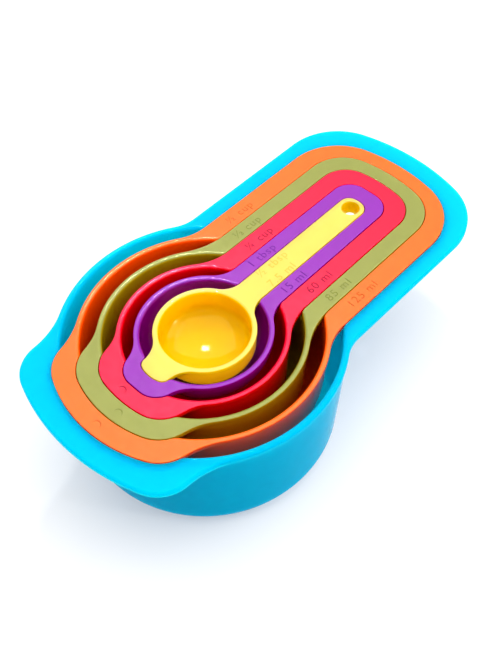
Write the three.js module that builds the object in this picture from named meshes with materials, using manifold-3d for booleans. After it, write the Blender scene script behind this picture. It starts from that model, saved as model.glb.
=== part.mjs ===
// Nesting measuring cup set: six one-piece plastic cups that stack into one block.
//
// Every cup is a round bowl hanging from a flat plate. The plate reaches out along +X as a
// handle and along -X as a broad pouring lip. The plate of each larger cup has a recess with
// the outline of the next smaller cup, so all the plates lie flush when the set is nested.
// The smallest cup's eyelet lines the hanging hole and reaches into the wider holes of the others.
//
// Millimetres, +Z up. The origin is the centre of the largest cup's flat base.

import * as THREE from "three";
import { mergeVertices } from "three/addons/utils/BufferGeometryUtils.js";
import Module from "manifold-3d";

// ---------------------------------------------------------------- driving dimensions

const TOP_HEIGHT = 48; // top face of the largest cup above the surface it stands on
const PROUD = 0.12; // each smaller plate stands this much above the next larger one
const SIDE_GAP = 0.4; // between a plate's edge and the recess it lies in
const FLOOR_GAP = 0.3; // between a plate's underside and the floor of that recess
const RECESS_FLOOR = 0.9; // thickness of a recess floor
const RECESS_WALL = 1.2; // thickness of the wall that hangs down around a recess
const SMALLEST_PLATE = 1.8; // full thickness of the smallest cup's plain plate
const PLATE_EDGE = 2; // thickness of the outer band of the middle cups
const LARGEST_PLATE_EDGE = 2.3; // the same on the largest cup
const RIM_OVERHANG = 0.25; // the rim's edge beyond the bowl's outer wall
const BOTTOM = 1.6; // thickness of a bowl's bottom
const HOLE_DIAMETER = 6.4; // hanging hole through the whole set
const HOLE_TO_TIP = 4.4; // its centre to the smallest handle's tip
const EYELET_WALL = 0.7; // the smallest cup lines that hole with an eyelet
const EYELET_LENGTH = 4.8; // from the smallest cup's top face down to the eyelet's end
const EYELET_GAP = 0.45; // between the eyelet and the hole of the next larger cup
const HOLE_STEP = 0.55; // each further cup's hole is wider by this, in radius
const CHORD_ERROR = 0.12; // how far a facet may lie inside its true arc
const MIN_ARC_STEPS = 3;
const CUT_MARGIN = 1; // how far a cutting solid runs past the face it opens

// Each cup, from the smallest to the largest.
//   axisX      the bowl's axis, from the origin along X
//   rimRadius  outer radius of the rim
//   bowl       mouth radius, depth, wall slope, height of the curved lower part and radius of
//              the flat bottom, all of the inside
//   handle     reach from the bowl's axis to the tip, half width at the tip, taper in radians
//              (widening toward the bowl), radius of the rounded end, of its corners and of
//              the fillets where it leaves the rim
//   lip        the same, but its corners run straight into its fillets
const CUPS = [
  {
    name: "half_tablespoon",
    colour: "#fbe42a",
    axisX: 1.6,
    rimRadius: 17.1,
    bowl: { mouth: 15.2, depth: 12.4, slope: 0.01, curve: 6.2, flat: 2 },
    handle: { reach: 77, halfWidth: 4.8, taper: 0, end: 8, corner: 3.9, neck: 8.1 },
    lip: { reach: 24.7, halfWidth: 5.6, end: 12, corner: 2.6, neck: 9.6 },
  },
  {
    name: "tablespoon",
    colour: "#9c3fb8",
    axisX: 1.2,
    rimRadius: 23,
    bowl: { mouth: 21, depth: 16.8, slope: 0.03, curve: 14.8, flat: 4 },
    handle: { reach: 83.6, halfWidth: 10.1, taper: 0.01, end: 110, corner: 7.3, neck: 10.8 },
    lip: { reach: 30.4, halfWidth: 10, end: 110, corner: 7.6, neck: 12.8 },
  },
  {
    name: "quarter_cup",
    colour: "#ee2a4b",
    axisX: 0.9,
    rimRadius: 28.5,
    bowl: { mouth: 26.6, depth: 31.6, slope: 0.045, curve: 11.5, flat: 15.5 },
    handle: { reach: 90.2, halfWidth: 17.2, taper: 0.01, end: 48, corner: 10.8, neck: 19.6 },
    lip: { reach: 36.2, halfWidth: 17.9, end: 46, corner: 11.6, neck: 14.8 },
  },
  {
    name: "third_cup",
    colour: "#a9ad4e",
    axisX: 0.8,
    rimRadius: 34.9,
    bowl: { mouth: 33, depth: 34, slope: 0.06, curve: 18, flat: 15 },
    handle: { reach: 96, halfWidth: 23.6, taper: 0.01, end: 59.6, corner: 14.8, neck: 27.4 },
    lip: { reach: 43, halfWidth: 23.2, end: 43, corner: 13, neck: 22 },
  },
  {
    name: "half_cup",
    colour: "#fb7a2e",
    axisX: 0.5,
    rimRadius: 41.8,
    bowl: { mouth: 39.9, depth: 36.2, slope: 0.07, curve: 22.5, flat: 17 },
    handle: { reach: 101.9, halfWidth: 31.2, taper: 0.01, end: 66, corner: 21.4, neck: 18 },
    lip: { reach: 50, halfWidth: 29, end: 50, corner: 13, neck: 30 },
  },
  {
    name: "full_cup",
    colour: "#04b4e0",
    axisX: 0,
    rimRadius: 48.3,
    bowl: { mouth: 46, depth: 46.4, slope: 0.07, curve: 8.5, flat: 35 },
    handle: { reach: 110, halfWidth: 37.3, taper: 0.01, end: 76, corner: 22.7, neck: 13.7 },
    lip: { reach: 57.5, halfWidth: 36, end: 79, corner: 13, neck: 29 },
  },
];

const HOLE_X = CUPS[0].axisX + CUPS[0].handle.reach - HOLE_TO_TIP;

// ---------------------------------------------------------------- plane curves

function arcSteps(radius, angle) {
  const step = 2 * Math.acos(1 - CHORD_ERROR / radius);
  return Math.max(MIN_ARC_STEPS, Math.ceil(Math.abs(angle) / step));
}

// Points along an arc, both ends included.
function arc(centre, radius, from, to) {
  const steps = arcSteps(radius, to - from);
  const points = [];
  for (let i = 0; i <= steps; i += 1) {
    const angle = from + ((to - from) * i) / steps;
    points.push(
      new THREE.Vector2(centre.x + radius * Math.cos(angle), centre.y + radius * Math.sin(angle)),
    );
  }
  return points;
}

// The point at given distances from two circle centres, on the left of the way between them.
function meetingPoint(first, firstDistance, second, secondDistance) {
  const between = second.clone().sub(first);
  const length = between.length();
  const along =
    (length * length + firstDistance * firstDistance - secondDistance * secondDistance) /
    (2 * length);
  const across = Math.sqrt(firstDistance * firstDistance - along * along);
  const unit = between.divideScalar(length);
  const left = new THREE.Vector2(-unit.y, unit.x);
  return first.clone().addScaledVector(unit, along).addScaledVector(left, across);
}

// Upper half of a handle along +X, grown outward by `offset`: a rounded end, a corner, a
// straight side and a concave fillet tangent to the rim circle. Returns its points from the
// tip inward, and the angle at which it meets the rim.
function handleCurve(handle, rimRadius, offset) {
  const end = handle.end + offset;
  const corner = handle.corner + offset;
  const neck = handle.neck - offset;
  const along = new THREE.Vector2(-Math.cos(handle.taper), Math.sin(handle.taper));
  const outward = new THREE.Vector2(Math.sin(handle.taper), Math.cos(handle.taper));
  const tipCorner = new THREE.Vector2(handle.reach, handle.halfWidth);
  const sideDistance = outward.dot(tipCorner) + offset;
  const endCentre = new THREE.Vector2(handle.reach - handle.end, 0);

  // The centre of a circle at a given distance from the origin across the side line's
  // direction, and at a given distance from another centre, taken on its +X side.
  const centreOn = (distance, other, spacing) => {
    const foot = outward.clone().multiplyScalar(distance);
    const toFoot = foot.clone().sub(other);
    const b = along.dot(toFoot);
    const c = toFoot.lengthSq() - spacing * spacing;
    return foot.addScaledVector(along, -b - Math.sqrt(b * b - c));
  };
  const cornerCentre = centreOn(sideDistance - corner, endCentre, end - corner);
  const neckCentre = centreOn(sideDistance + neck, new THREE.Vector2(), rimRadius + offset + neck);

  const endAngle = cornerCentre.clone().sub(endCentre).angle();
  const sideAngle = outward.angle();
  const rimAngle = neckCentre.angle();
  return {
    points: [
      ...arc(endCentre, end, 0, endAngle),
      ...arc(cornerCentre, corner, endAngle, sideAngle).slice(1),
      ...arc(neckCentre, neck, sideAngle + Math.PI, rimAngle + Math.PI),
    ],
    rimAngle,
  };
}

// The same for a lip, drawn along +X as well. Its fillet is tangent to both its corner and
// the rim circle, with no straight side between them.
function lipCurve(lip, rimRadius, offset) {
  const end = lip.end + offset;
  const corner = lip.corner + offset;
  const neck = lip.neck - offset;
  const endCentre = new THREE.Vector2(lip.reach - lip.end, 0);
  const cornerY = lip.halfWidth - lip.corner;
  const cornerCentre = new THREE.Vector2(
    endCentre.x + Math.sqrt((end - corner) ** 2 - cornerY ** 2),
    cornerY,
  );
  const neckCentre = meetingPoint(
    new THREE.Vector2(),
    rimRadius + offset + neck,
    cornerCentre,
    corner + neck,
  );

  const endAngle = cornerCentre.clone().sub(endCentre).angle();
  const sideAngle = neckCentre.clone().sub(cornerCentre).angle();
  const rimAngle = neckCentre.angle();
  return {
    points: [
      ...arc(endCentre, end, 0, endAngle),
      ...arc(cornerCentre, corner, endAngle, sideAngle).slice(1),
      ...arc(neckCentre, neck, sideAngle + Math.PI, rimAngle + Math.PI).slice(1),
    ],
    rimAngle,
  };
}

// Closed outline of a cup's plate, grown outward by `offset` and moved along X by `shift`.
function plateOutline(cup, offset = 0, shift = 0) {
  const handle = handleCurve(cup.handle, cup.rimRadius, offset);
  const lip = lipCurve(cup.lip, cup.rimRadius, offset);
  const rim = arc(
    new THREE.Vector2(),
    cup.rimRadius + offset,
    handle.rimAngle,
    Math.PI - lip.rimAngle,
  ).slice(1, -1);
  const lipPoints = lip.points.map((p) => new THREE.Vector2(-p.x, p.y)).reverse();
  const upper = [...handle.points, ...rim, ...lipPoints];
  const lower = upper
    .slice(1, -1)
    .reverse()
    .map((p) => new THREE.Vector2(p.x, -p.y));
  return [...upper, ...lower].map((p) => p.add(new THREE.Vector2(shift, 0)));
}

// Profile of a bowl's inside, from the axis at the bottom up to the mouth at z = 0.
// `wall` and `bottom` grow it into the profile of the outside.
function bowlProfile(bowl, mouth, wall, bottom) {
  const curveTop = -(bowl.depth - bowl.curve);
  const side = bowl.mouth + bowl.slope * curveTop + wall;
  const steps = arcSteps(bowl.curve, Math.PI / 2);
  const profile = [new THREE.Vector2(0, -bowl.depth - bottom)];
  for (let i = 0; i <= steps; i += 1) {
    const angle = (Math.PI / 2) * (1 - i / steps);
    profile.push(
      new THREE.Vector2(
        bowl.flat + (side - bowl.flat) * Math.cos(angle),
        curveTop - (bowl.curve + bottom) * Math.sin(angle),
      ),
    );
  }
  if (curveTop < 0) {
    profile.push(new THREE.Vector2(mouth, 0));
  }
  return profile;
}

// ---------------------------------------------------------------- solids

const wasm = await Module();
wasm.setup();

function toSolid(geometry) {
  geometry.deleteAttribute("normal");
  geometry.deleteAttribute("uv");
  const merged = mergeVertices(geometry);
  const index = merged.index.array;
  const triVerts = [];
  for (let i = 0; i < index.length; i += 3) {
    const [a, b, c] = [index[i], index[i + 1], index[i + 2]];
    if (a !== b && b !== c && c !== a) {
      triVerts.push(a, b, c);
    }
  }
  return new wasm.Manifold(
    new wasm.Mesh({
      numProp: 3,
      vertProperties: new Float32Array(merged.attributes.position.array),
      triVerts: new Uint32Array(triVerts),
    }),
  );
}

function toGeometry(solid) {
  const mesh = solid.getMesh();
  const geometry = new THREE.BufferGeometry();
  geometry.setAttribute("position", new THREE.BufferAttribute(mesh.vertProperties, 3));
  geometry.setIndex(new THREE.BufferAttribute(mesh.triVerts, 1));
  geometry.computeVertexNormals();
  return geometry;
}

// A flat solid with the given outline between two heights.
function slab(outline, bottom, top) {
  const geometry = new THREE.ExtrudeGeometry(new THREE.Shape(outline), {
    depth: top - bottom,
    bevelEnabled: false,
  });
  geometry.translate(0, 0, bottom);
  return toSolid(geometry);
}

// A full solid of revolution about Z. Its profile starts and ends on the axis.
function turned(profile) {
  const largest = Math.max(...profile.map((p) => p.x));
  const geometry = new THREE.LatheGeometry(profile, arcSteps(largest, 2 * Math.PI));
  geometry.rotateX(Math.PI / 2);
  return toSolid(geometry);
}

// An upright cylinder on the hanging hole's axis, for a cup whose bowl's axis is at `axisX`.
function onHoleAxis(axisX, radius, bottom, top) {
  const steps = arcSteps(radius, 2 * Math.PI);
  const geometry = new THREE.CylinderGeometry(radius, radius, top - bottom, steps);
  geometry.rotateX(Math.PI / 2);
  geometry.translate(HOLE_X - axisX, 0, (bottom + top) / 2);
  return toSolid(geometry);
}

function bowlOutside(cup) {
  const mouth = cup.rimRadius - RIM_OVERHANG;
  const profile = bowlProfile(cup.bowl, mouth, mouth - cup.bowl.mouth, BOTTOM);
  return turned([...profile, new THREE.Vector2(0, 0)]);
}

function bowlInside(cup) {
  const profile = bowlProfile(cup.bowl, cup.bowl.mouth, 0, 0);
  return turned([
    ...profile,
    new THREE.Vector2(cup.bowl.mouth, CUT_MARGIN),
    new THREE.Vector2(0, CUT_MARGIN),
  ]);
}

// Full height of a cup's plate at its recess. It grows by one floor from cup to cup.
function plateDepth(order) {
  return order === 0 ? SMALLEST_PLATE : recessDepth(order) + RECESS_FLOOR;
}

// Depth of the recess in cup `order` that takes the plate of cup `order - 1`.
function recessDepth(order) {
  return plateDepth(order - 1) - PROUD + FLOOR_GAP;
}

function plateEdge(order) {
  if (order === 0) {
    return SMALLEST_PLATE;
  }
  return order === CUPS.length - 1 ? LARGEST_PLATE_EDGE : PLATE_EDGE;
}

// Cuts the hanging hole. The smallest cup's has an eyelet, and the others' widen from cup to cup.
function withHole(order, solid) {
  const axisX = CUPS[order].axisX;
  const radius = HOLE_DIAMETER / 2;
  const eyeletRadius = radius + EYELET_WALL;
  if (order === 0) {
    return solid
      .add(onHoleAxis(axisX, eyeletRadius, -EYELET_LENGTH, -SMALLEST_PLATE / 2))
      .subtract(onHoleAxis(axisX, radius, -EYELET_LENGTH - CUT_MARGIN, CUT_MARGIN));
  }
  const bottom = -plateDepth(order) - CUT_MARGIN;
  const wide = eyeletRadius + EYELET_GAP + (order - 1) * HOLE_STEP;
  return solid.subtract(onHoleAxis(axisX, wide, bottom, CUT_MARGIN));
}

// One cup, with its top face at z = 0 and its bowl's axis on Z.
function cupGeometry(order) {
  const cup = CUPS[order];
  let solid = slab(plateOutline(cup), -plateEdge(order), 0).add(bowlOutside(cup));
  if (order > 0) {
    const smaller = CUPS[order - 1];
    const shift = smaller.axisX - cup.axisX;
    const tray = plateOutline(smaller, SIDE_GAP + RECESS_WALL, shift);
    const recess = plateOutline(smaller, SIDE_GAP, shift);
    solid = solid
      .add(slab(tray, -plateDepth(order), -plateEdge(order) / 2))
      .subtract(slab(recess, -recessDepth(order), CUT_MARGIN));
  }
  return toGeometry(withHole(order, solid.subtract(bowlInside(cup))));
}

// ---------------------------------------------------------------- the set

function moulding(colour) {
  return new THREE.MeshStandardMaterial({
    color: new THREE.Color(colour),
    roughness: 0.32,
    metalness: 0,
    flatShading: true,
  });
}

const set = new THREE.Group();
CUPS.forEach((cup, order) => {
  const mesh = new THREE.Mesh(cupGeometry(order), moulding(cup.colour));
  mesh.name = cup.name;
  mesh.position.set(cup.axisX, 0, TOP_HEIGHT + (CUPS.length - 1 - order) * PROUD);
  set.add(mesh);
});

export default set;
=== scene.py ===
import cmath
import math

import bmesh
import bpy
import numpy as np
from mathutils import Matrix, Vector
from mathutils.geometry import delaunay_2d_cdt


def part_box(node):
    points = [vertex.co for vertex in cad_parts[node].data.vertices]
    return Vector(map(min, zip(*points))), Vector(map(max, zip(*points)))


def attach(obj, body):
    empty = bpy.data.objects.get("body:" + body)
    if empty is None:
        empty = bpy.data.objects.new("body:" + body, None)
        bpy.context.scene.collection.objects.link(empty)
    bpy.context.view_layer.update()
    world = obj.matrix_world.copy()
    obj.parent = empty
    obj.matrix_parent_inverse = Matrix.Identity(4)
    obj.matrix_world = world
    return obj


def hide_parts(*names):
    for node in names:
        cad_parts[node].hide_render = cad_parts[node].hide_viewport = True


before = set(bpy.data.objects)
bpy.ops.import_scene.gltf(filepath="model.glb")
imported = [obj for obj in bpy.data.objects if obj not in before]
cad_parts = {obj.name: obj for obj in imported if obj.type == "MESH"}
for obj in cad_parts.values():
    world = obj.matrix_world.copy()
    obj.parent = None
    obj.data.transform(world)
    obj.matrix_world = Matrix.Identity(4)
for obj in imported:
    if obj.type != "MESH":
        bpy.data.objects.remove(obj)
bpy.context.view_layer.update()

# A nesting measuring cup set. Each cup is one mesh that stands for its CAD node, drawn here
# with rounded edges, marks and a finer surface. Shapes are worked out in millimetres, with a
# cup's bowl axis at x = y = 0 and its top face at z = 0. Points in plan are complex numbers.

# ---------------------------------------------------------------- driving dimensions, in mm

MM = 0.001

# How the cups nest
SIDE_GAP = 0.28  # between a plate's edge and the recess that it lies in
FLOOR_GAP = 0.3  # between a plate's underside and the floor of that recess
PROUD = 0.12  # each smaller plate stands this much above the next larger one

# Thicknesses
RECESS_FLOOR = 0.9
RECESS_WALL = 1.32
SMALLEST_PLATE = 1.8  # the smallest cup's plate
BOTTOM = 1.6  # a bowl's bottom
RIM_OVERHANG = 0.25  # the rim's edge beyond the bowl's outer wall

# Hanging holes
HOLE_TO_TIP = 4.4  # from their common axis to the smallest handle's tip
HOLE_RADIUS = 3.2  # the smallest cup's
HOLE_FLARE = 0.5  # its mouth opens out by this
HOLE_TAPER = 1.2  # and its wall closes in by this on the way down
EYELET_WALL = 0.7
EYELET_LENGTH = 4.8
EYELET_GAP = 0.45  # between the eyelet and the next cup's hole
HOLE_STEP = 0.55  # each further cup's hole is wider by this, in radius

# Radii of rounded edges
MOUTH_EDGE = 0.9  # a bowl's mouth
INNER_EDGE = 0.12  # the rest of a recess's top edge
UNDER_EDGE = 0.15  # a plate's lower edge
TRAY_EDGE = 0.5  # the lower edge of the wall around a recess
EYELET_EDGE = 0.3  # the eyelet's lower end
HOLE_EDGE = 0.15  # the larger cups' holes
MOUTH_CORNER = 1.5  # in plan, where a recess opens into the bowl
TRAY_CORNER = 1.0  # in plan, where the wall around a recess meets the bowl

# Capacity marks and the crescents of the moulding gates
MARK_DEPTH = 0.08
MARK_HEIGHT = 3.0  # of a capital
MARK_OUT = 0.4  # how far a mark's middle lies outside the middle of its band
LETTER_SPACING = 1.15
LETTER_FACES = 3  # faces along each curve of a letter
CAP_SHARE = 0.69  # height of a capital in the font, as a share of its size
GATE_RADIUS = 1.5
GATE_WIDTH = 0.4
GATE_ARC = math.radians(200)
GATE_FACES = 12

# How fine the meshes are
STEP = 2.4  # longest side of a face along an outline
TURN = math.radians(4)  # most that an outline turns from face to face
EDGE_FACES = 5  # across a rounded edge
SMALL_EDGE_FACES = 3  # across a rounded edge that hardly shows
MOUTH_FACES = 8  # across the rounded edge of a bowl's mouth
WALL_STEP = 2.6  # height of a face on a bowl's straight wall
CURVE_FACES = 14  # up a bowl's curved lower part
HOLE_FACES = 56  # round a hanging hole
EYELET_FACES = 4  # down the eyelet
ARC_FACES = 6  # fewest along an arc where a bowl's circle crosses a recess, and up a curve
OUTLINE_FACES = 3  # fewest along each part of an outline
MERGE_DISTANCE = 1e-6  # points of a flat face nearer than this are one
HALVINGS = 48  # in the search for where an outline meets a circle
SUPPORT = 0.12  # points this far inside a flat face's edge keep its shading flat
SHARP = math.radians(38)  # edges that turn by more than this are shaded sharp

# The glossy rim's share of the rounded edges, in faces from the top; these faces take the flat top's
# colour, painted paler than the plastic's own colour as painted light
PLATE_RIM = 3
MOUTH_RIM = 4
HOLE_RIM = 4

# ---------------------------------------------------------------- finishes, lights and camera

POLISH_ROUGHNESS = 0.06
SATIN_ROUGHNESS = 0.42
MARK_ROUGHNESS = 0.5
REFRACTION = 1.49
SCATTER_WEIGHT = 0.8
NOISE_LOW, NOISE_HIGH = 0.3, 0.7  # where nearly all of a noise's values lie
MOTTLE = dict(scale=260, detail=3)
MOTTLE_SHADES = (0.98, 1.02)  # times the colour
UNEVENNESS = dict(scale=350, detail=4)
UNEVEN_SHARES = (0.92, 1.12)  # times the roughness
WAVES = dict(scale=140, detail=1, strength=0.06, height=0.0001)  # height in metres
GRAIN = dict(scale=4200, detail=2, strength=0.1, height=0.00002)

FLOOR_SIDE = 3000  # in mm
FLOOR_DROP = 0.02  # in mm below the cups, so that no faces coincide
FLOOR_GREY = 0.6
FLOOR_ROUGHNESS = 0.9
FLOOR_GLOW = 0.3
WORLD_GLOW = 0.4
LIGHTS = [
    # name, azimuth, elevation, distance in metres, side in metres, radiance
    ("overhead_softbox", 45, 82, 1.2, 1.8, 2.4),
    ("side_softbox", -45, 40, 1.3, 0.9, 2.6),
    ("key", 50, 56.5, 1.2, 0.08, 150.0),
    ("camera_lamp", 229, 35, 1.2, 0.07, 70.0),
    ("side_lamp", -63, 20, 1.2, 0.06, 150.0),
]

CAMERA_TARGET = Vector((11.15, -8.52, 48.9))  # in mm
CAMERA_DISTANCE = 330.3  # in mm
CAMERA_ELEVATION = 52.86
CAMERA_YAW = 43.53  # from +Y toward +X
CAMERA_ROLL = 3.14
CAMERA_LENS = 56.48  # in mm
CAMERA_SENSOR = 36.0  # in mm
CAMERA_CLIP = (0.01, 10)  # in metres

# ---------------------------------------------------------------- the cups

# From the smallest to the largest, with
# axis_x: the bowl's axis along X
# edge, top_edge: height of the plate's edge, and the radius that rounds it at the top
# bowl: mouth radius, depth, wall slope, height of the curved part, radius of the flat bottom
# handle: half width at the tip, taper, radius of the end, of its corners and of its necks
# lip: half width, radius of the end, of its corners and of its necks
# marks: side of the handle, text, and where it starts along X
# gate_y: place of the gate's crescent across the lip, where one shows
# satin, polish, mark: a finish's colour, and its reflections' tint and strength. Only polish has the
# plastic's own colour: the satin colour is painted paler, as painted light on the flat top and the
# rims, and the mark colour is painted darker, as painted shade in the sunk marks
# scatter: how far light goes into the plastic, in metres
CUPS = [
    dict(name="half_tablespoon", axis_x=1.6, edge=1.8, top_edge=0.2, bowl=(15.2, 12.4, 0.01, 6.2, 0.6),
         handle=(4.8, 0.0, 8.0, 3.9, 8.1), lip=(5.6, 12.0, 2.6, 9.6),
         marks=[(1, "½ tbsp", 29.3), (-1, "7.5 ml", 29.0)],
         satin_painted_lit=dict(colour=(0.97, 0.57, 0.095), tint=(1.0, 0.9, 0.3), shine=0.5),
         polish=dict(colour=(1.0, 0.48, 0.0), tint=(1.0, 0.8, 0.3), shine=0.3),
         mark=dict(colour=(0.78, 0.45, 0.045), tint=(1.0, 0.9, 0.3), shine=0.25),
         scatter=0.01),
    dict(name="tablespoon", axis_x=1.2, edge=2.0, top_edge=0.2, bowl=(21.0, 16.8, 0.03, 14.8, 4.0),
         handle=(10.1, 0.01, 110.0, 7.3, 10.8), lip=(10.0, 110.0, 7.6, 12.8),
         marks=[(1, "1 tbsp", 30.6), (-1, "15 ml", 29.8)],
         satin_painted_lit=dict(colour=(0.21, 0.006, 0.33), tint=(1.0, 0.6, 1.0), shine=0.5),
         polish=dict(colour=(0.22, 0.0, 0.20), tint=(0.9, 0.25, 0.9), shine=0.35),
         mark=dict(colour=(0.13, 0.003, 0.25), tint=(1.0, 0.6, 1.0), shine=0.25),
         scatter=0.003),
    dict(name="quarter_cup", axis_x=0.9, edge=2.0, top_edge=0.2, bowl=(26.6, 31.6, 0.045, 11.5, 15.5),
         handle=(17.2, 0.01, 48.0, 10.8, 19.6), lip=(17.9, 46.0, 11.6, 14.8),
         marks=[(1, "¼ cup", 35.8), (-1, "60 ml", 35.8)], gate_y=2.2,
         satin_painted_lit=dict(colour=(0.75, 0.0, 0.02), tint=(1.0, 0.45, 0.75), shine=0.5),
         polish=dict(colour=(0.75, 0.0, 0.002), tint=(1.0, 0.1, 0.15), shine=0.35),
         mark=dict(colour=(0.28, 0.0, 0.018), tint=(1.0, 0.45, 0.75), shine=0.25),
         scatter=0.003),
    dict(name="third_cup", axis_x=0.8, edge=2.0, top_edge=0.2, bowl=(33.0, 34.0, 0.06, 18.0, 15.0),
         handle=(23.6, 0.01, 59.6, 14.8, 27.4), lip=(23.2, 43.0, 13.0, 22.0),
         marks=[(1, "⅓ cup", 36.8), (-1, "85 ml", 37.7)], gate_y=-3.1,
         satin_painted_lit=dict(colour=(0.225, 0.24, 0.053), tint=(1.0, 1.0, 0.5), shine=0.5),
         polish=dict(colour=(0.31, 0.23, 0.002), tint=(1.0, 0.8, 0.1), shine=0.35),
         mark=dict(colour=(0.175, 0.195, 0.03), tint=(1.0, 1.0, 0.5), shine=0.25),
         scatter=0.003),
    dict(name="half_cup", axis_x=0.5, edge=2.0, top_edge=0.2, bowl=(39.9, 36.2, 0.07, 22.5, 17.0),
         handle=(31.2, 0.01, 66.0, 21.4, 18.0), lip=(29.0, 50.0, 13.0, 30.0),
         marks=[(1, "½ cup", 40.1), (-1, "125 ml", 40.5)], gate_y=-1.3,
         satin_painted_lit=dict(colour=(0.97, 0.12, 0.006), tint=(1.0, 0.8, 0.5), shine=0.5),
         polish=dict(colour=(0.98, 0.065, 0.0), tint=(1.0, 0.5, 0.1), shine=0.35),
         mark=dict(colour=(0.46, 0.075, 0.003), tint=(1.0, 0.8, 0.5), shine=0.25),
         scatter=0.003),
    dict(name="full_cup", axis_x=0.0, edge=2.3, top_edge=0.7, bowl=(46.0, 46.4, 0.07, 8.5, 35.0),
         handle=(37.3, 0.01, 76.0, 22.7, 13.7), lip=(36.0, 79.0, 13.0, 29.0),
         marks=[],
         satin_painted_lit=dict(colour=(0.0, 0.32, 0.65), tint=(0.0, 0.9, 1.0), shine=0.1),
         polish=dict(colour=(0.0, 0.315, 0.62), tint=(0.0, 0.9, 1.0), shine=0.004),
         scatter=0.02),
]


# ---------------------------------------------------------------- curves in plan

def unit(angle):
    """The direction at an angle from +X."""
    return cmath.rect(1, angle)


def dot(a, b):
    return (a.conjugate() * b).real


def wrapped(angle):
    """The same angle between minus and plus half a turn."""
    return math.remainder(angle, 2 * math.pi)


class Arc:
    """Part of a circle. `side` is 1 where the shape lies within it, and -1 where outside."""

    def __init__(self, centre, radius, start, end, side=1):
        self.centre = centre
        self.radius = radius
        self.start = start
        self.end = end
        self.side = side

    def outward(self, share):
        return self.side * unit(self.start + (self.end - self.start) * share)

    def at(self, share, grow=0.0):
        return self.centre + (self.side * self.radius + grow) * self.outward(share)

    def size(self):
        """How many faces it needs, not rounded up."""
        turn = abs(self.end - self.start)
        return turn * self.radius / STEP + turn / TURN

    def part(self, share):
        end = self.start + (self.end - self.start) * share
        return Arc(self.centre, self.radius, self.start, end, self.side)

    def reversed(self):
        return Arc(self.centre, self.radius, self.end, self.start, self.side)

    def mirrored(self):
        centre = -self.centre.conjugate()
        return Arc(centre, self.radius, math.pi - self.start, math.pi - self.end, self.side)

    def placed(self, shift, grow):
        """The parallel curve that lies further out by `grow`, moved."""
        radius = self.radius + self.side * grow
        return Arc(self.centre + shift, radius, self.start, self.end, self.side)


class Line:
    """A straight stretch, with its outward direction."""

    def __init__(self, start, end, out):
        self.start = start
        self.end = end
        self.out = out

    def outward(self, share):
        return self.out

    def at(self, share, grow=0.0):
        return self.start + (self.end - self.start) * share + self.out * grow

    def size(self):
        return abs(self.end - self.start) / STEP

    def part(self, share):
        return Line(self.start, self.at(share), self.out)

    def reversed(self):
        return Line(self.end, self.start, self.out)

    def placed(self, shift, grow):
        move = shift + self.out * grow
        return Line(self.start + move, self.end + move, self.out)


def handle_curve(cup):
    """Upper half of a handle, from its tip inward to the rim."""
    half_width, taper, end, corner, neck = cup["handle"]
    along = complex(-math.cos(taper), math.sin(taper))
    out = complex(math.sin(taper), math.cos(taper))
    side = dot(out, complex(cup["reach"], half_width))
    end_centre = complex(cup["reach"] - end, 0)

    def centre_on(distance, other, spacing):
        """A centre at a distance from the side's own line and a spacing from another centre."""
        foot = out * distance
        b = dot(along, foot - other)
        c = abs(foot - other) ** 2 - spacing ** 2
        return foot + along * (-b - math.sqrt(b * b - c))

    corner_centre = centre_on(side - corner, end_centre, end - corner)
    neck_centre = centre_on(side + neck, 0j, cup["rim"] + neck)
    end_angle = cmath.phase(corner_centre - end_centre)
    side_angle = cmath.phase(out)
    return [
        Arc(end_centre, end, 0, end_angle),
        Arc(corner_centre, corner, end_angle, side_angle),
        Line(corner_centre + corner * out, neck_centre - neck * out, out),
        Arc(neck_centre, neck, side_angle + math.pi, cmath.phase(neck_centre) + math.pi, -1),
    ]


def lip_curve(cup):
    """Upper half of a lip, from its tip inward to the rim."""
    half_width, end, corner, neck = cup["lip"]
    end_centre = complex(cup["lip_reach"] - end, 0)
    corner_y = half_width - corner
    corner_x = end_centre.real + math.sqrt((end - corner) ** 2 - corner_y ** 2)
    corner_centre = complex(corner_x, corner_y)

    # The neck's circle touches the rim's circle and the corner's circle.
    from_axis, from_corner = cup["rim"] + neck, corner + neck
    length = abs(corner_centre)
    along = (length ** 2 + from_axis ** 2 - from_corner ** 2) / (2 * length)
    across = math.sqrt(from_axis ** 2 - along ** 2)
    neck_centre = corner_centre / length * complex(along, across)

    end_angle = cmath.phase(corner_centre - end_centre)
    side_angle = cmath.phase(neck_centre - corner_centre)
    pieces = [
        Arc(end_centre, end, 0, end_angle),
        Arc(corner_centre, corner, end_angle, side_angle),
        Arc(neck_centre, neck, side_angle + math.pi, cmath.phase(neck_centre) + math.pi, -1),
    ]
    return [piece.mirrored() for piece in pieces]


def spread(pieces, count):
    """Places along some pieces, the same share of their size apart, ends included."""
    sizes = [piece.size() for piece in pieces]
    step = sum(sizes) / count
    places, index, passed = [], 0, 0.0
    for i in range(count + 1):
        goal = step * i
        while index < len(pieces) - 1 and goal > passed + sizes[index]:
            passed += sizes[index]
            index += 1
        places.append((pieces[index], min(1.0, (goal - passed) / sizes[index])))
    return places


def half_loop(groups, counts, grow=0.0):
    """Points along groups of pieces, each group with its own count, shared ends once."""
    points = []
    for pieces, count in zip(groups, counts):
        found = [piece.at(share, grow) for piece, share in spread(pieces, count)]
        points += found[1:] if points else found
    return points


def counts_for(groups):
    """How many faces each group of pieces needs."""
    sizes = [sum(piece.size() for piece in pieces) for pieces in groups]
    return [max(OUTLINE_FACES, math.ceil(size)) for size in sizes]


def plate_groups(cup):
    """Upper half of a plate's outline, in groups: handle, rim, lip."""
    handle, lip = handle_curve(cup), lip_curve(cup)
    rim = Arc(0j, cup["rim"], handle[-1].end - math.pi, lip[-1].end + math.pi)
    return [handle, [rim], [piece.reversed() for piece in reversed(lip)]]


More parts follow.
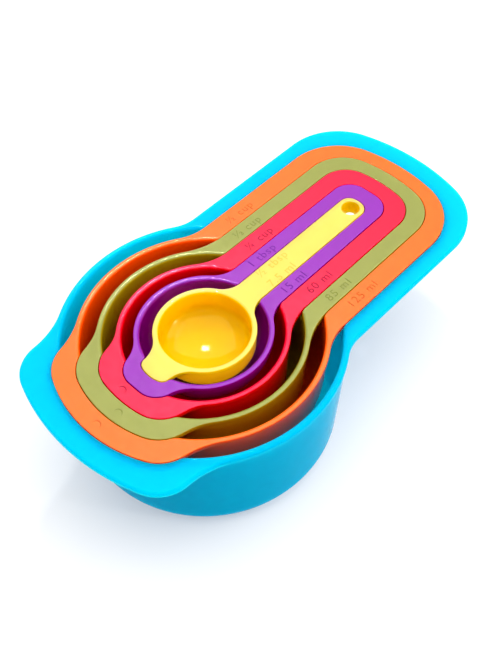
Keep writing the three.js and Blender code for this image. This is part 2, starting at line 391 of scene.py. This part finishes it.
def cut(pieces, radius, fillet):
    """Some pieces up to where they meet a circle about the axis, and the fillet arc there."""
    for index, piece in enumerate(pieces):
        if abs(piece.at(1, fillet)) >= radius + fillet:
            continue
        low, high = 0.0, 1.0
        for _ in range(HALVINGS):
            middle = (low + high) / 2
            if abs(piece.at(middle, fillet)) < radius + fillet:
                high = middle
            else:
                low = middle
        centre = piece.at(high, fillet)
        start = cmath.phase(-piece.outward(high))
        turn = wrapped(cmath.phase(-centre) - start)
        return pieces[:index] + [piece.part(high)], Arc(centre, fillet, start, start + turn, -1)
    raise ValueError("the outline doesn't reach the circle")


def joined_groups(smaller, shift, grow, radius, fillet):
    """Upper half of a smaller cup's outline, grown, joined with a circle about the axis.

    The groups are handle, fillet, circle, fillet and lip.
    """
    handle = [piece.placed(shift, grow) for piece in handle_curve(smaller)]
    lip = [piece.placed(shift, grow) for piece in lip_curve(smaller)]
    handle, near = cut(handle, radius, fillet)
    lip, far = cut(lip, radius, fillet)
    circle = Arc(0j, radius, cmath.phase(near.centre), cmath.phase(far.centre))
    back = [piece.reversed() for piece in reversed(lip)]
    return [handle, [near], [circle], [far.reversed()], back]


def closed(half):
    """A closed loop from its upper half, which starts and ends on the X axis."""
    return half + [point.conjugate() for point in reversed(half[1:-1])]


# ---------------------------------------------------------------- meshes

# A cup's material slots: its walls and underside in the plastic's own colour, its flat top and the
# edges there in a colour painted paler as painted light, and its marks in a colour painted darker as
# painted shade
POLISH, SATIN_PAINTED_LIT, RIM, MARK = range(4)


class Shell:
    """A mesh in the making: points, and faces with a material index."""

    def __init__(self):
        self.points = []
        self.faces = []
        self.slots = []

    def point(self, place, height):
        """Adds a point, and returns its index."""
        self.points.append((place.real, place.imag, height))
        return len(self.points) - 1

    def loop(self, places, height):
        return [self.point(place, height) for place in places]

    def circle(self, radius, ways, height):
        """A loop about the bowl's axis, with a point in each direction."""
        return self.loop([radius * way for way in ways], height)

    def angle(self, index):
        """Angle of a point's direction from the bowl's axis."""
        return cmath.phase(complex(*self.points[index][:2]))

    def face(self, corners, slot=POLISH):
        self.faces.append(corners)
        self.slots.append(slot)

    def bridge(self, first, second, slot=POLISH):
        """A band of faces between two closed loops of the same length."""
        for i in range(len(first)):
            a, b = first[i - 1], first[i]
            c, d = second[i], second[i - 1]
            corners = []
            for corner in (a, b, c, d):
                if corner not in corners:
                    corners.append(corner)
            if len(corners) > 2:
                self.face(corners, slot)

    def stack(self, loops, slot=POLISH):
        for first, second in zip(loops, loops[1:]):
            self.bridge(first, second, slot)

    def rimmed_stack(self, loops, rim_faces):
        """A stack whose first faces have the rim's finish: gloss, with the top's colour painted paler
        as painted light.
        """
        self.stack(loops[:rim_faces + 1], RIM)
        self.stack(loops[rim_faces:])

    def plan(self, loop):
        return np.array([self.points[i][:2] for i in loop])


def within(places, loops):
    """Which places lie inside closed loops, by the even-odd rule."""
    x, y = places[:, 0], places[:, 1]
    inside = np.zeros(len(places), bool)
    for loop in loops:
        for (x0, y0), (x1, y1) in zip(loop, np.roll(loop, -1, axis=0)):
            if y0 == y1:
                continue
            crosses = (y > y0) != (y > y1)
            inside ^= crosses & (x < x0 + (y - y0) * (x1 - x0) / (y1 - y0))
    return inside


def support_points(loop, region):
    """Points just inside a region, along one of the loops that bound it."""
    ahead = np.roll(loop, -1, axis=0) - np.roll(loop, 1, axis=0)
    side = np.stack([-ahead[:, 1], ahead[:, 0]], axis=1)
    side *= SUPPORT / np.linalg.norm(side, axis=1)[:, None]
    beside = [loop + side, loop - side]
    return [place for places in beside for place in places[within(places, region)]]


def closed_edges(borders):
    """Edges round closed borders whose points are numbered one after another."""
    edges, first = [], 0
    for border in borders:
        size = len(border)
        edges += [(first + i, first + (i + 1) % size) for i in range(size)]
        first += size
    return edges


def flat_faces(shell, corners, edges, height):
    """Triangles between some points of the shell that keep the edges, and their middles."""
    flat = [Vector(shell.points[i][:2]) for i in corners]
    found, _, faces, sources, _, _ = delaunay_2d_cdt(flat, edges, [], 0, MERGE_DISTANCE)
    index = []
    for place, source in zip(found, sources):
        index.append(corners[source[0]] if source else shell.point(complex(*place), height))
    middles = [sum((found[i] for i in face), Vector((0, 0))) / len(face) for face in faces]
    return [[index[i] for i in face] for face in faces], np.array(middles)


def fill(shell, loops, height, marks=(), slot=POLISH):
    """Fills a flat region bounded by loops of the shell. Marks are sunk into it."""
    region = [shell.plan(loop) for loop in loops]
    rings = [shell.loop([complex(*place) for place in mark], height) for mark in marks]
    borders = loops + rings
    corners = [i for border in borders for i in border]
    for loop in region:
        support = support_points(loop, region)
        corners += shell.loop([complex(*place) for place in support], height)
    faces, middles = flat_faces(shell, corners, closed_edges(borders), height)

    lower = {}

    def lowered(i):
        if i not in lower:
            x, y, z = shell.points[i]
            lower[i] = shell.point(complex(x, y), z - MARK_DEPTH)
        return lower[i]

    # Sunk marks take the mark colour, painted darker than the plastic's as painted shade in the sunk
    # letters and crescents.
    for face, keep, sunk in zip(faces, within(middles, region), within(middles, marks)):
        if keep and sunk:
            shell.face([lowered(i) for i in face], MARK)
        elif keep:
            shell.face(face, slot)
    for ring in rings:
        for a, b in zip(ring, ring[1:] + ring[:1]):
            shell.face([a, b, lowered(b), lowered(a)], MARK)


def rounding(radius, faces=EDGE_FACES):
    """(how far in, how far down) across a rounded edge, from the flat face to the side."""
    angles = [math.pi / 2 * i / faces for i in range(faces + 1)]
    return [(radius * (1 - math.sin(a)), radius * (1 - math.cos(a))) for a in angles]


def rounded_away(radius, depth):
    """How far a rounded top edge lies behind the wall below it, at a depth."""
    if depth >= radius:
        return 0.0
    return radius - math.sqrt(radius ** 2 - (radius - depth) ** 2)


def bowl_radius(cup, depth, outside):
    """Radius of a bowl's wall at a depth below the mouth."""
    mouth, inner_depth, slope, curve, flat = cup["bowl"]
    wall = cup["rim"] - RIM_OVERHANG - mouth if outside else 0.0
    bottom = BOTTOM if outside else 0.0
    start = inner_depth - curve
    if depth <= start:
        return mouth + wall - slope * depth
    side = mouth + wall - slope * start
    share = min(1.0, (depth - start) / (curve + bottom))
    return flat + (side - flat) * math.sqrt(1 - share ** 2)


def bowl_depths(cup, first, outside):
    """Depths of the loops on a bowl's wall, from `first` down to the flat bottom."""
    _, inner_depth, _, curve, _ = cup["bowl"]
    bottom = BOTTOM if outside else 0.0
    start = inner_depth - curve
    depths = []
    if first < start:
        steps = max(1, math.ceil((start - first) / WALL_STEP))
        depths = [first + (start - first) * i / steps for i in range(steps)]
    low = math.asin(min(1.0, max(0.0, (first - start) / (curve + bottom))))
    faces = max(ARC_FACES, math.ceil(CURVE_FACES * (1 - low / (math.pi / 2))))
    angles = [low + (math.pi / 2 - low) * i / faces for i in range(faces + 1)]
    return depths + [start + (curve + bottom) * math.sin(a) for a in angles]


def bowl_wall(shell, cup, top, first, outside):
    """The wall of a bowl below its top loop, which lies at the depth `first`, and its bottom."""
    ways = [unit(shell.angle(i)) for i in top]
    depths = bowl_depths(cup, first, outside)
    loops = [top]
    for depth in depths[1:]:
        loops.append(shell.circle(bowl_radius(cup, depth, outside), ways, -depth))
    shell.stack(loops)
    fill(shell, [loops[-1]], -depths[-1])


def hole_loops(shell, x, radii_and_heights):
    """Loops about the hanging hole's axis."""
    turns = [unit(2 * math.pi * i / HOLE_FACES) for i in range(HOLE_FACES)]
    loops = []
    for radius, height in radii_and_heights:
        loops.append(shell.loop([x + radius * turn for turn in turns], height))
    return loops


def plate_edge(shell, cup):
    """The outer edge of a plate. Returns its top loop and its bottom loop."""
    groups = plate_groups(cup)
    counts = counts_for(groups)
    over = [(-inward, -down) for inward, down in rounding(cup["top_edge"])]
    under = [(-inward, down - cup["edge"]) for inward, down in rounding(UNDER_EDGE, SMALL_EDGE_FACES)]
    loops = []
    for grow, height in over + under[::-1]:
        loops.append(shell.loop(closed(half_loop(groups, counts, grow)), height))
    shell.rimmed_stack(loops, PLATE_RIM)
    return loops[0], loops[-1]


# ---------------------------------------------------------------- the smallest cup

def round_bowl(shell, cup):
    """The bowl of a plain plate. Returns its loops in the plate's top and in its underside."""
    count = math.ceil(Arc(0j, cup["rim"], 0, math.pi).size())
    ways = closed([unit(math.pi * i / count) for i in range(count + 1)])
    mouth = []
    for outward, down in rounding(MOUTH_EDGE, MOUTH_FACES):
        mouth.append(shell.circle(bowl_radius(cup, down, False) + outward, ways, -down))
    shell.rimmed_stack(mouth, MOUTH_RIM)
    bowl_wall(shell, cup, mouth[-1], MOUTH_EDGE, False)

    outer = shell.circle(bowl_radius(cup, cup["edge"], True), ways, -cup["edge"])
    bowl_wall(shell, cup, outer, cup["edge"], True)
    return mouth[0], outer


def eyelet(shell, cup):
    """The hanging hole of a plain plate. Returns its loops in the plate's top and underside."""
    wall = HOLE_RADIUS + EYELET_WALL
    foot = HOLE_RADIUS - HOLE_TAPER
    end = EYELET_LENGTH
    rows = [i / EYELET_FACES for i in range(1, EYELET_FACES)]
    edge = rounding(EYELET_EDGE, SMALL_EDGE_FACES)
    places = [(HOLE_RADIUS + outward, -down) for outward, down in rounding(HOLE_FLARE)]
    places += [(HOLE_RADIUS - HOLE_TAPER * row, -end * row) for row in rows]
    places += [(foot + outward, down - end) for outward, down in reversed(edge)]
    places += [(wall - inward, down - end) for inward, down in edge]
    places += [(wall, -end * row) for row in reversed(rows) if end * row > cup["edge"]]
    places += [(wall, -cup["edge"])]
    loops = hole_loops(shell, cup["hole_x"], places)
    shell.rimmed_stack(loops, HOLE_RIM)
    return loops[0], loops[-1]


def simple_cup(cup):
    """The smallest cup: a plain plate, a bowl and the eyelet."""
    shell = Shell()
    top, under = plate_edge(shell, cup)
    mouth, outer = round_bowl(shell, cup)
    hole_top, hole_foot = eyelet(shell, cup)
    # The flat top takes the satin colour, painted paler than the plastic's as painted light.
    fill(shell, [top, mouth, hole_top], 0.0, cup["outlines"], SATIN_PAINTED_LIT)
    fill(shell, [under, outer, hole_foot], -cup["edge"])
    return shell


# ---------------------------------------------------------------- the cups that others lie in

def joined_loops(shell, smaller, shift, counts, fillet, levels):
    """Loops round a recess and its bowl, at levels of (gap, bowl's radius, height, growth)."""
    loops = []
    for gap, radius, height, growth in levels:
        groups = joined_groups(smaller, shift, gap, radius, fillet)
        loops.append(shell.loop(closed(half_loop(groups, counts, growth)), height))
    return loops


def arc_counts(cup, circle):
    """How many faces half of the bowl's arc needs at the handle, and how many at the lip."""
    angles = (cmath.phase(circle.at(0)), math.pi - circle.end)
    return [max(ARC_FACES, math.ceil(angle * cup["rim"] / STEP)) for angle in angles]


def bowl_ends(shell, loop, counts, arcs, radius, depth):
    """Splits the flat region outside a bowl's circle into its parts at the handle and the lip.

    Returns the boundary of each, and the bowl's own full loop, which shares their points.
    """
    near = counts[0] + counts[1]
    far = near + counts[2]
    size = len(loop)
    start = shell.angle(loop[near])
    end = shell.angle(loop[far])
    at_handle, at_lip = arcs
    near_ways = [unit(start * i / at_handle) for i in range(1 - at_handle, at_handle)]
    far_ways = [unit(end + (math.pi - end) * i / at_lip) for i in range(1, 2 * at_lip)]
    near_arc = shell.circle(radius, near_ways, -depth)
    far_arc = shell.circle(radius, far_ways, -depth)
    upper = loop[near:far + 1]
    lower = loop[size - far:size - near + 1]
    near_part = loop[:near + 1] + near_arc[::-1] + loop[size - near:]
    far_part = loop[far:size - far + 1] + far_arc[::-1]
    full = near_arc[at_handle - 1:] + upper + far_arc + lower + near_arc[:at_handle - 1]
    return near_part, far_part, full


def recess_levels(cup):
    """Levels of a recess's wall, and of the bowl's mouth where that is wider."""
    floor = cup["recess"]
    depths = [down for _, down in rounding(MOUTH_EDGE, MOUTH_FACES)]
    levels = []
    for depth in depths + [(floor + MOUTH_EDGE) / 2, floor]:
        away = rounded_away(INNER_EDGE, depth)
        radius = bowl_radius(cup, depth, False) + rounded_away(MOUTH_EDGE, depth) - away
        levels.append((SIDE_GAP, radius, -depth, away))
    return levels


def tray_levels(cup):
    """Levels of the wall around a recess, and of the bowl's outside where that is wider."""
    gap = SIDE_GAP + RECESS_WALL
    levels = [(gap, bowl_radius(cup, cup["edge"], True), -cup["edge"], 0.0)]
    for inward, up in reversed(rounding(TRAY_EDGE)):
        depth = cup["depth"] - up
        levels.append((gap - inward, bowl_radius(cup, depth, True), -depth, 0.0))
    return levels


def through_hole(shell, cup):
    """The hanging hole under a recess. Returns its top loop and its bottom loop."""
    edge = rounding(HOLE_EDGE, SMALL_EDGE_FACES)
    places = [(cup["hole"] + outward, -cup["recess"] - down) for outward, down in edge]
    places += [(cup["hole"] + outward, down - cup["depth"]) for outward, down in reversed(edge)]
    loops = hole_loops(shell, cup["hole_x"], places)
    shell.stack(loops)
    return loops[0], loops[-1]


def nesting_cup(cup, smaller):
    """A cup with a recess that takes the next smaller cup's plate."""
    shell = Shell()
    shift = smaller["axis_x"] - cup["axis_x"]
    edge, floor, bottom = cup["edge"], cup["recess"], cup["depth"]
    top, under = plate_edge(shell, cup)

    # The recess and the bowl's inside
    radius = bowl_radius(cup, 0, False)
    groups = joined_groups(smaller, shift, SIDE_GAP, radius, MOUTH_CORNER)
    counts = counts_for(groups)
    arcs = arc_counts(cup, groups[2][0])
    recess = joined_loops(shell, smaller, shift, counts, MOUTH_CORNER, recess_levels(cup))
    shell.rimmed_stack(recess, MOUTH_RIM)
    radius = bowl_radius(cup, floor, False)
    near_floor, far_floor, mouth = bowl_ends(shell, recess[-1], counts, arcs, radius, floor)
    bowl_wall(shell, cup, mouth, floor, False)

    # The wall around the recess and the bowl's outside
    radius = bowl_radius(cup, edge, True)
    groups = joined_groups(smaller, shift, SIDE_GAP + RECESS_WALL, radius, TRAY_CORNER)
    counts = counts_for(groups)
    tray = joined_loops(shell, smaller, shift, counts, TRAY_CORNER, tray_levels(cup))
    shell.stack(tray)
    radius = bowl_radius(cup, bottom, True)
    near_under, far_under, base = bowl_ends(shell, tray[-1], counts, arcs, radius, bottom)
    bowl_wall(shell, cup, base, bottom, True)

    hole_top, hole_foot = through_hole(shell, cup)
    # The flat top takes the satin colour, painted paler than the plastic's as painted light.
    fill(shell, [top, recess[0]], 0.0, cup["outlines"], SATIN_PAINTED_LIT)
    fill(shell, [under, tray[0]], -edge)
    fill(shell, [near_floor, hole_top], -floor)
    fill(shell, [far_floor], -floor)
    fill(shell, [near_under, hole_foot], -bottom)
    fill(shell, [far_under], -bottom)
    return shell


# ---------------------------------------------------------------- objects

def mesh_object(name, shell, offset, materials):
    """A Blender object from a shell, moved into place in metres."""
    mesh = bpy.data.meshes.new(name)
    moved = [tuple((c + o) * MM for c, o in zip(point, offset)) for point in shell.points]
    mesh.from_pydata(moved, [], shell.faces)
    mesh.polygons.foreach_set("material_index", shell.slots)
    for material in materials:
        mesh.materials.append(material)
    work = bmesh.new()
    work.from_mesh(mesh)
    loose = [corner for corner in work.verts if not corner.link_faces]
    bmesh.ops.delete(work, geom=loose, context="VERTS")
    bmesh.ops.recalc_face_normals(work, faces=work.faces)
    work.to_mesh(mesh)
    work.free()
    mesh.shade_smooth()
    mesh.set_sharp_from_angle(angle=SHARP)
    piece = bpy.data.objects.new(name, mesh)
    bpy.context.scene.collection.objects.link(piece)
    return piece


def sized_cups():
    """The cups with what the frame says of them and what follows from nesting.

    The frame gives the reach of the handle and the lip, the rim's radius and the top's height.
    """
    cups = []
    for given in CUPS:
        cup = dict(given)
        low, high = (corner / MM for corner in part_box(cup["name"]))
        cup["reach"] = high.x - cup["axis_x"]
        cup["lip_reach"] = cup["axis_x"] - low.x
        cup["rim"] = high.y
        cup["top"] = high.z
        if not cups:
            cup["depth"] = SMALLEST_PLATE
            hole_x = high.x - HOLE_TO_TIP
        else:
            cup["recess"] = cups[-1]["depth"] - PROUD + FLOOR_GAP
            cup["depth"] = cup["recess"] + RECESS_FLOOR
            cup["hole"] = HOLE_RADIUS + EYELET_WALL + EYELET_GAP + (len(cups) - 1) * HOLE_STEP
        cup["hole_x"] = hole_x - cup["axis_x"]
        cups.append(cup)
    return cups


# ---------------------------------------------------------------- marks

def letters(text):
    """Outlines of a text in the font's own units, as corners and the edges between them."""
    curve = bpy.data.curves.new("mark", "FONT")
    curve.body = text
    curve.fill_mode = "NONE"
    curve.resolution_u = LETTER_FACES
    curve.space_character = LETTER_SPACING
    holder = bpy.data.objects.new("mark", curve)
    mesh = bpy.data.meshes.new_from_object(holder)
    corners = [(corner.co.x, corner.co.y) for corner in mesh.vertices]
    edges = [tuple(edge.vertices) for edge in mesh.edges]
    bpy.data.objects.remove(holder)
    bpy.data.meshes.remove(mesh)
    bpy.data.curves.remove(curve)
    return corners, edges


def chains(edges):
    """The closed chains that edges make, each as a list of corners in order."""
    nearby = {}
    for a, b in edges:
        nearby.setdefault(a, []).append(b)
        nearby.setdefault(b, []).append(a)
    found, seen = [], set()
    for first in nearby:
        if first in seen:
            continue
        chain, last, here = [], None, first
        while here not in seen:
            seen.add(here)
            chain.append(here)
            ahead = [i for i in nearby[here] if i != last and i not in seen]
            last, here = here, ahead[0] if ahead else first
        found.append(chain)
    return found


def text_outlines(text, x, y):
    """Outlines of a mark that reads along +X from x, with its middle at y."""
    size = MARK_HEIGHT / CAP_SHARE
    foot = y - MARK_HEIGHT / 2
    corners, edges = letters(text)
    places = [(along * size + x, up * size + foot) for along, up in corners]
    return [np.array([places[i] for i in chain]) for chain in chains(edges)]


def crescent(x, y):
    """Outline of the crescent that the moulding gate leaves on a lip."""
    half = GATE_ARC / 2
    steps = [-half + GATE_ARC * i / GATE_FACES for i in range(GATE_FACES + 1)]
    outer = [(x + GATE_RADIUS * math.cos(a), y + GATE_RADIUS * math.sin(a)) for a in steps]
    inner = []
    for a in reversed(steps[1:-1]):
        radius = GATE_RADIUS - GATE_WIDTH * math.cos(a / half * math.pi / 2)
        inner.append((x + radius * math.cos(a), y + radius * math.sin(a)))
    return np.array(outer + inner)


def cup_marks(cup, smaller):
    """Outlines of a cup's marks: one on each band of its handle, and its lip's crescent."""
    marks = []
    inner = smaller["handle"][0] + SIDE_GAP if smaller else 0.0
    middle = (inner + cup["handle"][0]) / 2 + MARK_OUT
    for side, text, x in cup["marks"]:
        marks += text_outlines(text, x - cup["axis_x"], side * middle)
    if "gate_y" in cup:
        x = -(cup["lip_reach"] + smaller["lip_reach"] + SIDE_GAP) / 2
        marks.append(crescent(x, cup["gate_y"]))
    return marks


# ---------------------------------------------------------------- materials

def set_inputs(node, values):
    for name, value in values.items():
        node.inputs[name].default_value = value


def noise(tree, place, scale, detail):
    """A noise from 0 to 1 over the object's own space."""
    made = tree.nodes.new("ShaderNodeTexNoise")
    set_inputs(made, {"Scale": scale, "Detail": detail})
    tree.links.new(place, made.inputs["Vector"])
    return made.outputs["Fac"]


def mottled(tree, place, colour):
    """A colour that varies a little from place to place."""
    made = tree.nodes.new("ShaderNodeValToRGB")
    ends = zip(made.color_ramp.elements, (NOISE_LOW, NOISE_HIGH), MOTTLE_SHADES)
    for end, position, shade in ends:
        end.position = position
        end.color = (*(min(1.0, part * shade) for part in colour), 1)
    tree.links.new(noise(tree, place, **MOTTLE), made.inputs["Fac"])
    return made.outputs["Color"]


def uneven(tree, place, roughness):
    """A roughness that varies a little from place to place."""
    made = tree.nodes.new("ShaderNodeMapRange")
    low, high = (roughness * share for share in UNEVEN_SHARES)
    set_inputs(made, {"From Min": NOISE_LOW, "From Max": NOISE_HIGH, "To Min": low, "To Max": high})
    tree.links.new(noise(tree, place, **UNEVENNESS), made.inputs["Value"])
    return made.outputs["Result"]


def bump(tree, place, scale, detail, strength, height, under=None):
    """The normal of a bump from a noise, over another bump's normal where one is given."""
    made = tree.nodes.new("ShaderNodeBump")
    set_inputs(made, {"Strength": strength, "Distance": height})
    tree.links.new(noise(tree, place, scale, detail), made.inputs["Height"])
    if under:
        tree.links.new(under, made.inputs["Normal"])
    return made.outputs["Normal"]


def plastic(name, roughness, scatter, colour, tint, shine):
    """Moulded plastic: a faint mottle, uneven gloss, slight waves and a fine grain."""
    material = bpy.data.materials.new(name)
    material.use_nodes = True
    tree = material.node_tree
    shader = tree.nodes["Principled BSDF"]
    set_inputs(shader, {
        "IOR": REFRACTION,
        "Specular IOR Level": shine,
        "Specular Tint": (*tint, 1),
        "Subsurface Weight": SCATTER_WEIGHT,
        "Subsurface Radius": (1.0, 1.0, 1.0),
        "Subsurface Scale": scatter,
    })
    place = tree.nodes.new("ShaderNodeTexCoord").outputs["Object"]
    waves = bump(tree, place, **WAVES)
    sources = {
        "Base Color": mottled(tree, place, colour),
        "Roughness": uneven(tree, place, roughness),
        "Normal": bump(tree, place, **GRAIN, under=waves),
    }
    for socket, source in sources.items():
        tree.links.new(source, shader.inputs[socket])
    return material


def finishes(cup):
    """A cup's materials, in the order of its slots. The last is only for a cup with marks. The satin
    and rim materials take a colour painted paler than the plastic's, as painted light, and the marks'
    material takes a colour painted darker, as painted shade.
    """
    name, scatter = cup["name"], cup["scatter"]
    made = [
        plastic(name + "_plastic", POLISH_ROUGHNESS, scatter, **cup["polish"]),
        plastic(name + "_satin", SATIN_ROUGHNESS, scatter, **cup["satin_painted_lit"]),
        plastic(name + "_rim", POLISH_ROUGHNESS, scatter, **cup["satin_painted_lit"]),
    ]
    if cup["marks"]:
        # The mark colour is painted darker than the plastic's, as painted shade in the sunk marks.
        made.append(plastic(name + "_mark", MARK_ROUGHNESS, scatter, **cup["mark"]))
    return made


# ---------------------------------------------------------------- the set

def make_set():
    """One moulding for each cup, which rides on its node's body and takes the node's place."""
    cups = sized_cups()
    for order, cup in enumerate(cups):
        smaller = cups[order - 1] if order else None
        cup["outlines"] = cup_marks(cup, smaller)
        shell = nesting_cup(cup, smaller) if order else simple_cup(cup)
        name = cup["name"]
        offset = (cup["axis_x"], 0, cup["top"])
        piece = mesh_object(name + "_moulding", shell, offset, finishes(cup))
        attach(piece, name)
        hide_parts(name)


# ---------------------------------------------------------------- floor, light and camera

def make_floor():
    shell = Shell()
    side = FLOOR_SIDE / 2
    corners = [complex(x, y) * side for x, y in ((-1, -1), (1, -1), (1, 1), (-1, 1))]
    shell.face(shell.loop(corners, 0.0))
    material = bpy.data.materials.new("floor")
    material.use_nodes = True
    set_inputs(material.node_tree.nodes["Principled BSDF"], {
        "Base Color": (FLOOR_GREY, FLOOR_GREY, FLOOR_GREY, 1),
        "Roughness": FLOOR_ROUGHNESS,
        "Specular IOR Level": 0.0,
        "Emission Color": (1, 1, 1, 1),
        "Emission Strength": FLOOR_GLOW,
    })
    floor = mesh_object("floor", shell, (0, 0, -FLOOR_DROP), [material])


def make_light(name, azimuth, elevation, distance, size, radiance):
    """A square soft light that faces the set. Azimuth is from +X toward +Y."""
    data = bpy.data.lights.new(name, "AREA")
    data.shape = "SQUARE"
    data.size = size
    data.energy = radiance * math.pi * size * size  # the power that gives a face this radiance
    light = bpy.data.objects.new(name, data)
    bpy.context.scene.collection.objects.link(light)
    azimuth, elevation = math.radians(azimuth), math.radians(elevation)
    flat = math.cos(elevation)
    away = Vector((flat * math.cos(azimuth), flat * math.sin(azimuth), math.sin(elevation)))
    light.location = CAMERA_TARGET * MM + away * distance
    light.rotation_euler = away.to_track_quat("Z", "Y").to_euler()


def make_studio():
    for light in LIGHTS:
        make_light(*light)
    world = bpy.data.worlds.new("studio")
    world.use_nodes = True
    set_inputs(world.node_tree.nodes["Background"], {"Color": (1, 1, 1, 1), "Strength": WORLD_GLOW})
    bpy.context.scene.world = world
    bpy.context.scene.view_settings.view_transform = "Standard"


def make_camera():
    """The camera that looks at the target from the photo's viewpoint."""
    yaw, elevation, roll = (math.radians(a) for a in (CAMERA_YAW, CAMERA_ELEVATION, CAMERA_ROLL))
    flat = math.cos(elevation)
    ahead = Vector((math.sin(yaw) * flat, math.cos(yaw) * flat, -math.sin(elevation)))
    level = Vector((math.cos(yaw), -math.sin(yaw), 0))
    above = level.cross(ahead)
    right = level * math.cos(roll) - above * math.sin(roll)
    up = right.cross(ahead)
    data = bpy.data.cameras.new("camera")
    data.lens = CAMERA_LENS
    data.sensor_width = CAMERA_SENSOR
    data.clip_start, data.clip_end = CAMERA_CLIP
    camera = bpy.data.objects.new("camera", data)
    bpy.context.scene.collection.objects.link(camera)
    place = (CAMERA_TARGET - ahead * CAMERA_DISTANCE) * MM
    turn = Matrix((right, up, -ahead)).transposed().to_4x4()
    camera.matrix_world = Matrix.Translation(place) @ turn
    bpy.context.scene.camera = camera


make_set()
make_floor()
make_studio()
make_camera()
